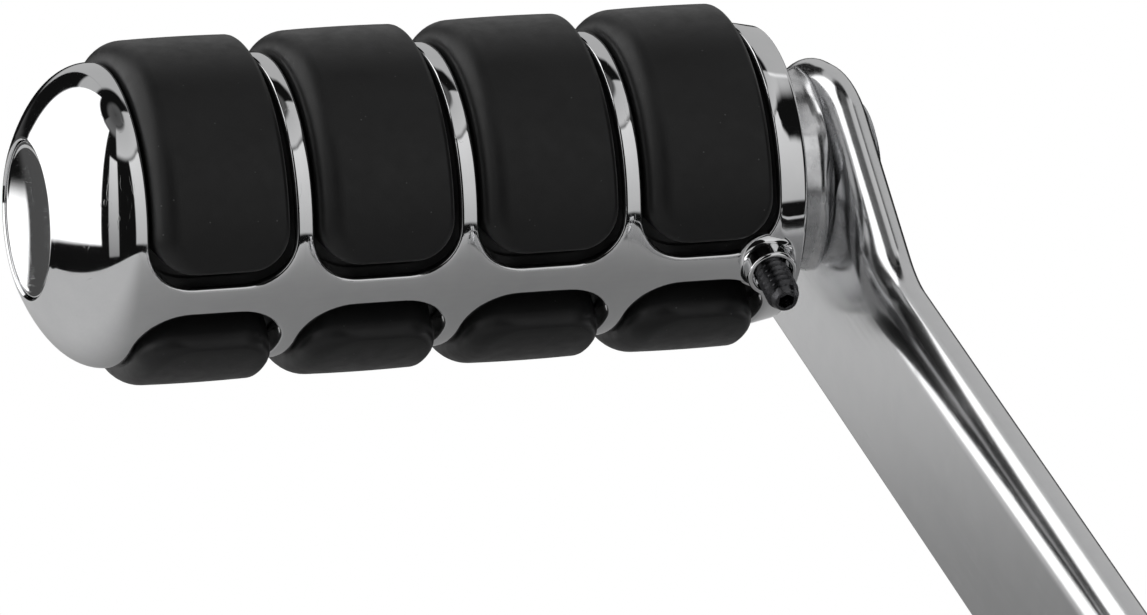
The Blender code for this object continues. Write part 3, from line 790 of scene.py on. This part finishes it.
def build_pinch_bolt(material):
    """Threaded shank, plain neck, and a knurled head with a hexagonal socket."""
    head = WASHER_SEAT + WASHER_THICKNESS + CLEARANCE
    neck_end = head - BOLT_NECK
    crown = head + BOLT_HEAD_HEIGHT
    mouth = BOLT_HEX * 0.62
    knurl_start = head + 0.5 * MM
    knurl_end = crown - 1.2 * MM
    skin = screw_body(BOLT_RADIUS, BOLT_PITCH, head - BOLT_LENGTH, neck_end, BOLT_TIP_CHAMFER)
    side = rounded([
        (BOLT_RADIUS, head, 0), (BOLT_HEAD_RADIUS, head, 0.2 * MM),
        (BOLT_HEAD_RADIUS, crown, 0.5 * MM), (mouth, crown, 0),
    ], 6, closed=False)
    foot = [tuple(point) for point in side if point.y < knurl_start]
    wall = [(BOLT_HEAD_RADIUS, z) for z in steps(knurl_start, crown - 1.3 * MM, 14)]
    top = [tuple(point) for point in side if point.y > knurl_start]

    def knurl(radius, angle, z):
        if radius <= 0.9 * BOLT_HEAD_RADIUS:
            return radius, angle, z
        grip = smooth(z, knurl_start, knurl_start + KNURL_FADE)
        grip *= smooth(-z, -knurl_end, KNURL_FADE - knurl_end)
        notch = KNURL_DEPTH * (1 - math.cos(angle * SCREW_COLUMNS / 2)) * grip
        return radius - notch, angle, z

    profile = [(BOLT_RADIUS, neck_end), (BOLT_RADIUS, head)] + foot + wall + top
    lathe(profile, SCREW_COLUMNS, skin, knurl, closed=False)
    socket(skin, BOLT_HEX, mouth, crown, BOLT_HEAD_HEIGHT / 2)
    piece("pinch_bolt_threaded", skin, BOLT_FRAME, material, "pinch_bolt",
          ["pinch_bolt"])


def screw_body(radius, pitch, low, high, chamfer, taper=0.0):
    """A threaded shank from its closed lower end. The upper end is left open: the thread
    runs out there, or is cut down by taper."""
    depth = THREAD_DEPTH * pitch
    slope, crest = THREAD_FLANK
    start, end = (high - turns_left * pitch for turns_left in THREAD_RUN_OUT)
    count = int(round((high - low) / pitch * THREAD_ROWS))
    skin = Skin()
    rows = []
    for z in steps(low, high, count):
        row = []
        for turn in turns(SCREW_COLUMNS):
            phase = (z / pitch - turn / TURN) % 1.0
            flank = min(max(abs(2 * phase - 1) * slope - crest, 0.0), 1.0)
            run_out = 0.0 if taper else smooth(z, start, end)
            thread = radius - depth * flank * (1 - run_out)
            limit = radius + min(z - low - chamfer, (high - z) / 2 - taper)
            row.append(Vector((*polar(min(thread, limit), turn), z)))
        rows.append(row)
    skin.rows(rows)
    skin.fan(rows[0], Vector((0, 0, low)))
    return skin


def socket(skin, across_flats, mouth, top, depth):
    """A hexagonal recess with a small bevel, from a round edge of radius mouth at top."""
    rows = [ring(mouth, top, SCREW_COLUMNS)]
    outline = hexagon(across_flats)
    for size, part in SOCKET_STEPS:
        rows.append([Vector((*(point * size), top - depth * part)) for point in outline])
    skin.rows(rows)
    skin.fan(rows[-1], Vector((0, 0, top - depth * SOCKET_POINT)))


# ---- peg

def window_cell(low, high, short=0.0):
    """Points round a window and their partners on its cell's border, as flat (u, v):
    u runs round the peg and v along it, from a full window's middle. The side towards the
    arm may be cut short."""
    width = WINDOW_HALF_WIDTH
    edge = ROW_TO_STRIP
    ends = {1: WINDOW_LENGTH / 2, -1: short - WINDOW_LENGTH / 2}
    corner = WINDOW_CORNER
    across = steps(-(width - corner), width - corner, CELL_ACROSS)
    along = steps(ends[1] - corner, ends[-1] + corner, CELL_ALONG)
    bends = steps(0.0, 1.0, CELL_CORNER)[1:-1]

    def corner_points(su, sv, first_v):
        """From the end across the peg's turn to the side, su and sv give the quadrant."""
        points = []
        limit = high if sv > 0 else low
        for bend in bends:
            angle = QUARTER * (1 - bend)
            way = Vector((su * math.cos(angle), sv * math.sin(angle)))
            centre = Vector((su * (width - corner), ends[sv] - sv * corner))
            if bend <= 0.5:
                border = Vector((su * (width - corner + (edge - width + corner) * bend * 2), limit))
            else:
                border = Vector((su * edge, limit + (first_v - limit) * (bend * 2 - 1)))
            points.append((centre + way * corner, way, border))
        return points

    up = Vector((0, 1))
    right = Vector((1, 0))
    points = [(Vector((u, ends[1])), up, Vector((u, high))) for u in across]
    points += corner_points(1, 1, along[0])
    points += [(Vector((width, v)), right, Vector((edge, v))) for v in along]
    points += reversed(corner_points(1, -1, along[-1]))
    points += [(Vector((u, ends[-1])), -up, Vector((u, low))) for u in reversed(across)]
    points += corner_points(-1, -1, along[-1])
    points += [(Vector((-width, v)), -right, Vector((-edge, v))) for v in reversed(along)]
    points += reversed(corner_points(-1, 1, along[0]))
    return points


def wrapped(u, v, radius, angle, middle):
    """A flat point bent round the peg, from the row's angle and the window's middle."""
    turn = angle + u / CAGE_RADIUS
    return Vector((*polar(radius, turn), middle + v))


def ring_drop(u, v, short=0.0):
    """How far the crowned bars lie below the cage's full radius near a window."""
    width = WINDOW_HALF_WIDTH - WINDOW_CORNER
    length = WINDOW_LENGTH / 2 - WINDOW_CORNER
    past = max(v - length, short - length - v, 0.0)
    beyond = Vector((max(abs(u) - width, 0.0), past))
    distance = beyond.length - WINDOW_CORNER
    return RING_CROWN * max(0.0, 1 - distance / RING_CROWN_REACH) ** 2


def cage_cell(skin, angle, middle, low, high, short):
    """A window's inner wall and rounded edge, and the shell round it up to its cell's border."""
    points = window_cell(low, high, short)
    rows = []
    for radius in (CAGE_BORE, (CAGE_BORE + CAGE_RADIUS) / 2):
        rows.append([wrapped(*at, radius, angle, middle) for at, _, _ in points])
    for bend in steps(0.0, QUARTER, 5):
        out = WINDOW_EDGE_ROUND * (1 - math.cos(bend))
        sunk = WINDOW_EDGE_ROUND * (1 - math.sin(bend))
        row = []
        for at, way, _ in points:
            spot = at + way * out
            row.append(wrapped(*spot, CAGE_RADIUS - sunk - ring_drop(*spot, short), angle, middle))
        rows.append(row)
    for part in CELL_SHARES:
        row = []
        for at, way, border in points:
            spot = (at + way * WINDOW_EDGE_ROUND).lerp(border, part)
            row.append(wrapped(*spot, CAGE_RADIUS - ring_drop(*spot, short), angle, middle))
        rows.append(row)
    skin.rows(rows)
    inside = [wrapped(*border, CAGE_BORE, angle, middle) for _, _, border in points]
    skin.rows([inside, rows[0]])


def ring_angles():
    """(window row's angle, u) of the points along a cell's end border, all round the peg."""
    ends = [b for _, _, b in window_cell(-1.0, 1.0) if b.y == 1.0]
    flat = sorted(point.x for point in ends)
    return [(angle, u) for _, angle in PAD_ROWS for u in flat if u < ROW_TO_STRIP - HAIR]


def nose_profile():
    """A curve from the shoulder to the rim, the cap's pocket, then back inside the shell."""
    nose = []
    for t in steps(0.0, 1.0, 30)[1:]:
        weights = ((1 - t) ** 2, 2 * t * (1 - t), t ** 2)
        radii = (CAGE_RADIUS, CAGE_RADIUS, RIM_RADIUS)
        places = (SHOULDER_START, SHOULDER_CORNER, RIM_POSITION)
        nose.append((
            sum(w * r for w, r in zip(weights, radii)), sum(w * z for w, z in zip(weights, places)),
        ))
    nose[-1] = (RIM_RADIUS, RIM_POSITION - 0.05 * MM)
    nose += [
        (RIM_RADIUS - 0.10 * MM, RIM_POSITION), (CAP_POCKET_RADIUS + RIM_ROUND, RIM_POSITION),
        (CAP_POCKET_RADIUS, RIM_POSITION - RIM_ROUND), (CAP_POCKET_RADIUS, CAP_POCKET_FLOOR),
        (CORE_HOLE, CAP_POCKET_FLOOR), (CORE_HOLE, CAVITY_END), (RECESS_RADIUS, CAVITY_END),
        (RECESS_RADIUS, RECESS_END), (CAGE_BORE, RECESS_END), (CAGE_BORE, SHOULDER_START),
    ]
    return nose


def base_profile():
    """The base ring: a slight cone, its rounded corner, the flat end and the mouth's lip."""
    base = []
    round_end = CAGE_START + CAGE_BASE_ROUND
    for part in steps(0.0, 1.0, 4)[1:-1]:
        base.append((
            CAGE_RADIUS + (CAGE_NECK_RADIUS - CAGE_RADIUS) * part,
            CAGE_NECK_END + (round_end - CAGE_NECK_END) * part,
        ))
    for bend in steps(0.0, QUARTER, 12):
        base.append((
            CAGE_BASE_RADIUS + (CAGE_NECK_RADIUS - CAGE_BASE_RADIUS) * math.cos(bend),
            CAGE_START + CAGE_BASE_ROUND * (1 - math.sin(bend)),
        ))
    edge = 0.15 * MM
    lip = CAGE_START + CAGE_LIP
    base += [
        (CAGE_MOUTH + edge, CAGE_START), (CAGE_MOUTH, CAGE_START + edge), (CAGE_MOUTH, lip),
        (CAGE_BORE, lip), (CAGE_BORE, CAGE_NECK_END),
    ]
    return base


def build_cage(material):
    skin = Skin()
    half = WINDOW_PITCH / 2
    around = ring_angles()
    for _, angle in PAD_ROWS:
        for index, middle in enumerate(WINDOW_MIDDLES):
            last = index == PADS_PER_ROW - 1
            high = SHOULDER_START - middle if index == 0 else half
            low = CAGE_NECK_END - middle if last else -half
            cage_cell(skin, angle, middle, low, high, LAST_WINDOW_CUT if last else 0.0)
    for profile, middle, v, short in (
        (nose_profile(), WINDOW_MIDDLES[0], SHOULDER_START - WINDOW_MIDDLES[0], 0.0),
        (base_profile(), WINDOW_MIDDLES[-1], CAGE_NECK_END - WINDOW_MIDDLES[-1], LAST_WINDOW_CUT),
    ):
        rows = [[wrapped(u, v, CAGE_RADIUS - ring_drop(u, v, short), at, middle) for at, u in around]]
        for radius, z in profile:
            rows.append([wrapped(u, z - middle, radius, at, middle) for at, u in around])
        skin.rows(rows)
    piece("peg_cage_plated", skin, PEG_FRAME, material, "peg", ["peg_cage"], 38.0)


def build_boss(material):
    """The threaded boss for the set screw: a drum with a filleted foot on the cage."""
    hole = SCREW_RADIUS + CLEARANCE
    inner_end = CAGE_BORE + 0.6 * MM

    def on_cage(radius, rise):
        """A ring of points over the cage's surface, round the screw's axis."""
        row = []
        for turn in turns(BOSS_POINTS):
            x, y = polar(radius, turn)
            row.append(Vector((x, y, math.sqrt(CAGE_RADIUS ** 2 - y * y) + rise)))
        return row

    sunk = on_cage(BOSS_RADIUS + BOSS_FOOT, -0.6 * MM)
    rows = [sunk]
    for bend in steps(0.0, QUARTER, 8):
        radius = BOSS_RADIUS + BOSS_FOOT * (1 - math.sin(bend))
        rows.append(on_cage(radius, BOSS_FOOT * (1 - math.cos(bend)) - OVERLAP))
    drum = rounded([
        (BOSS_RADIUS, BOSS_END - BOSS_DRUM, 0), (BOSS_RADIUS, BOSS_END, 0.35 * MM),
        (BOSS_MOUTH_RADIUS, BOSS_END, 0.05 * MM), (hole, BOSS_END - 0.22 * MM, 0.03 * MM),
        (hole, inner_end, 0), (BOSS_RADIUS, inner_end, 0),
    ], 6, closed=False)
    rows += [ring(radius, z, BOSS_POINTS) for radius, z in drum]
    skin = Skin()
    skin.rows(rows + [sunk])
    piece("peg_cage_boss", skin, SCREW_FRAME, material, "peg", ["peg_cage"], 40.0)


def pad_grid(radius, nose, arm, around, crown):
    """The window's outline as rows of (u, v, radius), grown towards the nose, towards the
    arm and round the peg."""
    high = WINDOW_LENGTH / 2 + nose
    low = WINDOW_LENGTH / 2 + arm
    width = WINDOW_HALF_WIDTH + around
    corner = WINDOW_CORNER + around / 2
    ends = [
        (corner * (1 - math.cos(bend)), corner * (1 - math.sin(bend)))
        for bend in steps(0.0, QUARTER, PAD_BEND_STEPS)
    ]
    rows = [(high - back, inset) for back, inset in ends]
    rows += [(v, 0.0) for v in steps(high - corner, corner - low, PAD_ALONG)[1:-1]]
    rows += [(back - low, inset) for back, inset in reversed(ends)]
    grid = []
    for v, inset in rows:
        height = radius - crown * (2 * v / WINDOW_LENGTH) ** 2
        grid.append([((width - inset) * part, v, height) for part in steps(-1.0, 1.0, PAD_ACROSS)])
    return grid


def pad_layers():
    """From the flange up the sides to the crest: soft towards the nose, crisp elsewhere."""
    lip = 3 * [PAD_FLANGE_LIP]
    layers = [(PAD_FLANGE_IN, *lip, 0.0), (PAD_FLANGE_OUT, *lip, 0.0)]
    layers.append((PAD_FLANGE_OUT, -PAD_NOSE_GAP, -PAD_ARM_GAP, -PAD_END_GAP, 0.0))
    for bend in steps(0.0, QUARTER, PAD_BEND_STEPS):
        rise = PAD_SHOULDER_RISE * (math.sin(bend) - 1)
        nose = PAD_NOSE_REACH * (1 - math.cos(bend))
        other = PAD_OTHER_REACH * (1 - math.cos(bend))
        layers.append((
            PAD_CREST + rise, -PAD_NOSE_GAP - nose, -PAD_ARM_GAP - other, -PAD_END_GAP - other,
            PAD_CROWN * math.sin(bend),
        ))
    return layers


def clear_of_screw(u, v, radius, side):
    """Moves a pad's point sideways out of the set screw's boss; side is the strip's u."""
    away = Vector((u - side * ROW_TO_STRIP, v + WINDOW_MIDDLES[-1] - SCREW_POSITION))
    outside = radius > PAD_FLANGE_OUT + HAIR
    room = BOSS_RADIUS + 0.35 * MM if outside else SCREW_RADIUS + 0.6 * MM
    if away.length >= room:
        return u, v
    push = away.normalized() * (room - away.length)
    return u + push.x, v + push.y


def build_pads(material):
    """Each pad: its layers' rims joined one to the next, the flange's back and the crest."""
    for row_name, angle in PAD_ROWS:
        for index, middle in enumerate(WINDOW_MIDDLES):
            short = LAST_WINDOW_CUT if index == PADS_PER_ROW - 1 else 0.0
            grids = []
            for radius, nose, arm, around, crown in pad_layers():
                grid = []
                for row in pad_grid(radius, nose, arm - short, around, crown):
                    points = []
                    for u, v, r in row:
                        if short:
                            u, v = clear_of_screw(u, v, r, -1 if row_name == "upper" else 1)
                        points.append(wrapped(u, v, r, angle, middle))
                    grid.append(points)
                grids.append(grid)
            skin = Skin()
            for grid in (grids[0], grids[-1]):
                skin.rows(grid, closed=False)
            skin.rows([
                grid[0][:-1] + [row[-1] for row in grid[:-1]] + grid[-1][:0:-1]
                + [row[0] for row in grid[:0:-1]]
                for grid in grids
            ])
            name = f"{row_name}_{index + 1}"
            piece("rubber_pad_moulded_" + name, skin, PEG_FRAME, material, "peg",
                  ["rubber_pad_" + name], 50.0)


def build_nose_cap(material):
    """A disc with a narrow flat lip round a shallow dish."""
    lip = CAP_RADIUS - CAP_LIP
    edge = CAP_LIP_ROUND
    nearly_middle = 0.006
    profile = [
        (0.05 * MM, CAP_BACK), (CAP_RADIUS - CAP_CHAMFER, CAP_BACK),
        (CAP_RADIUS, CAP_BACK + CAP_CHAMFER),
    ]
    profile += arc((CAP_RADIUS - edge, CAP_EDGE - edge), edge, 0, QUARTER, 4)
    profile.append((lip + edge, CAP_EDGE))
    for part in steps(1.0, nearly_middle, 28):
        profile.append((lip * part, CAP_EDGE - 0.05 * MM - CAP_DISH_DEPTH * (1 - part ** 2)))
    piece("nose_cap_dished", lathe(profile, 128), PEG_FRAME, material, "peg",
          ["nose_cap"], 30.0)


def build_set_screw(material):
    """Threaded all along, with a cone at its outer end and a hexagonal socket in it."""
    broken_edge = 0.05 * MM
    edge = SCREW_END - broken_edge
    mouth = SCREW_HEX * 0.64
    narrow = SCREW_RADIUS - SCREW_TAPER
    skin = screw_body(SCREW_RADIUS, SCREW_PITCH, SCREW_TIP, edge, SCREW_TIP_CHAMFER, SCREW_TAPER)
    rim = [(narrow, edge), (narrow - broken_edge, SCREW_END), (mouth, SCREW_END)]
    lathe(rim, SCREW_COLUMNS, skin, closed=False)
    socket(skin, SCREW_HEX, mouth, SCREW_END, SCREW_SOCKET_DEPTH)
    piece("set_screw_threaded", skin, SCREW_FRAME, material, "set_screw",
          ["set_screw"])


def keep_cad_nodes(materials):
    """The core and its screw are inside the peg: their CAD shapes get these finishes."""
    for name, (material, slot) in materials.items():
        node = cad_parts[name]
        node.data.materials.clear()
        node.data.materials.append(material)


# ---- studio

def build_floor():
    """White to the camera; in reflections, paper with a soft shade under the peg and bar."""
    mesh = bpy.data.meshes.new("floor")
    rim = [
        FLOOR_MIDDLE + Vector((x * FLOOR_LENGTH, y * FLOOR_WIDTH, FLOOR_HEIGHT))
        for x, y, _ in ring(1.0, 0, 128)
    ]
    mesh.from_pydata(rim, [], [tuple(range(len(rim)))])
    floor = linked(bpy.data.objects.new("floor", mesh))
    material = bpy.data.materials.new("white_sweep")
    material.use_nodes = True
    nodes = Nodes(material.node_tree)
    nodes.tree.nodes.clear()
    place = nodes.add("TexCoord").outputs["Object"]
    grain = nodes.add("TexNoise", {"Vector": place, "Scale": 300.0}).outputs[0]
    tone = nodes.mix(grain, (0.90, 0.90, 0.90), (0.95, 0.95, 0.95))
    offset = nodes.vectors("SUBTRACT", {0: place, 1: SHADE_MIDDLE})
    spread = nodes.vectors("MULTIPLY", {0: offset, 1: SHADE_SCALE})
    distance = nodes.vectors("LENGTH", {0: spread}, "Value")
    lit = nodes.ramp(distance, 0.3, 1.0, SHADE_DEPTH, 1.0, "SMOOTHSTEP")
    shaded = nodes.vectors("SCALE", {0: tone, "Scale": lit})
    paper = nodes.add("BsdfDiffuse", {"Color": shaded}).outputs[0]
    bright = nodes.add("Emission", {"Color": WHITE}).outputs[0]
    straight = nodes.add("LightPath").outputs["Is Camera Ray"]
    mixed = nodes.add("MixShader", {0: straight, 1: paper, 2: bright}).outputs[0]
    nodes.add("OutputMaterial", {"Surface": mixed})
    mesh.materials.append(material)


def build_world():
    """White to the camera; round the object, the panels of a photographer's studio."""
    world = bpy.data.worlds.new("studio")
    bpy.context.scene.world = world
    world.use_nodes = True
    nodes = Nodes(world.node_tree)
    nodes.tree.nodes.clear()

    def between(value, low, high, soft):
        """1 from low to high, with soft ends, and 0 elsewhere."""
        rise = nodes.ramp(value, low - soft, low + soft, kind="SMOOTHSTEP")
        fall = nodes.ramp(value, high - soft, high + soft, 1.0, 0.0, "SMOOTHSTEP")
        return nodes.maths("MULTIPLY", rise, fall)

    way = nodes.add("TexCoord").outputs["Generated"]
    x, y, z = nodes.add("SeparateXYZ", {0: way}).outputs
    azimuth = nodes.maths("MULTIPLY", nodes.maths("ARCTAN2", y, x), math.degrees(1))
    elevation = nodes.maths("MULTIPLY", nodes.maths("ARCSINE", z), math.degrees(1))
    light = DARK_ROOM
    for left, right, low, high, at_foot, at_top, soft in PANELS:
        across = between(azimuth, left, right, soft)
        upright = between(elevation, low, high, soft)
        glow = nodes.ramp(elevation, low, high, at_foot, at_top)
        panel = nodes.maths("MULTIPLY", nodes.maths("MULTIPLY", across, upright), glow)
        light = nodes.maths("ADD", light, panel)
    straight = nodes.add("LightPath").outputs["Is Camera Ray"]
    shown = nodes.add("Mix", {0: straight, 2: light, 3: 1.0}).outputs[0]
    sky = nodes.add("Background", {"Color": WHITE, "Strength": shown}).outputs[0]
    nodes.add("OutputWorld", {"Surface": sky})


def build_camera():
    flat = Vector((math.sin(CAMERA_AZIMUTH), -math.cos(CAMERA_AZIMUTH), 0))
    back = flat * math.cos(CAMERA_ELEVATION) + Vector((0, 0, math.sin(CAMERA_ELEVATION)))
    data = bpy.data.cameras.new("camera")
    data.lens = CAMERA_LENS
    data.sensor_width = CAMERA_SENSOR
    data.clip_end = 100.0
    camera = linked(bpy.data.objects.new("camera", data))
    camera.location = AIM + back * (CAMERA_LENS / CAMERA_SENSOR * VIEW_WIDTH)
    camera.rotation_euler = back.to_track_quat("Z", "Y").to_euler()
    bpy.context.scene.camera = camera


def main():
    straight = (0.0, 0.0, 0.0)
    bar_turn = (0.0, -ARM_SLOPE, 0.0)
    peg_chrome = chrome_material(
        "chrome_peg", 0.010 * MM, 0.03, (260.0, 900.0, 260.0), straight, 0.03, 0.0013 * MM
    )
    bar_chrome = chrome_material(
        "chrome_bar", 0.010 * MM, 0.13, (30.0, 1500.0, 1500.0), bar_turn, 0.05, 0.0006 * MM
    )
    cap_chrome = chrome_material(
        "chrome_cap", 0.006 * MM, 0.03, (240.0, 240.0, 2600.0), (0.3, 0.2, 0.0), 0.03, 0.0002 * MM
    )
    hub_chrome = chrome_material(
        "chrome_hub", 0.012 * MM, 0.06, (700.0, 60.0, 700.0), straight, 0.05, 0.0018 * MM
    )
    weld = weld_material()
    rubber = rubber_material()
    steel = plain_metal("zinc_steel", (0.42, 0.43, 0.45), (0.66, 0.67, 0.68), 0.28, 2400.0, 0.004 * MM)
    alloy = plain_metal("cast_core", (0.50, 0.51, 0.52), (0.68, 0.69, 0.70), 0.45, 3000.0, 0.02 * MM)
    black = plain_metal("black_oxide", (0.045, 0.045, 0.048), (0.130, 0.130, 0.136), 0.26,
                        2600.0, 0.004 * MM)

    build_arm(bar_chrome)
    build_hub(hub_chrome)
    build_hub_welds(weld)
    build_stud(steel)
    build_collar(weld)
    build_lock_washer(steel)
    build_pinch_bolt(black)
    build_cage(peg_chrome)
    build_boss(peg_chrome)
    build_pads(rubber)
    build_nose_cap(cap_chrome)
    build_set_screw(black)
    keep_cad_nodes({
        "peg_core": (alloy, "cast_alloy"), "core_screw": (black, "black_oxide_steel"),
    })
    build_floor()
    build_world()
    build_camera()
    bpy.context.scene.view_settings.view_transform = "Standard"


main()
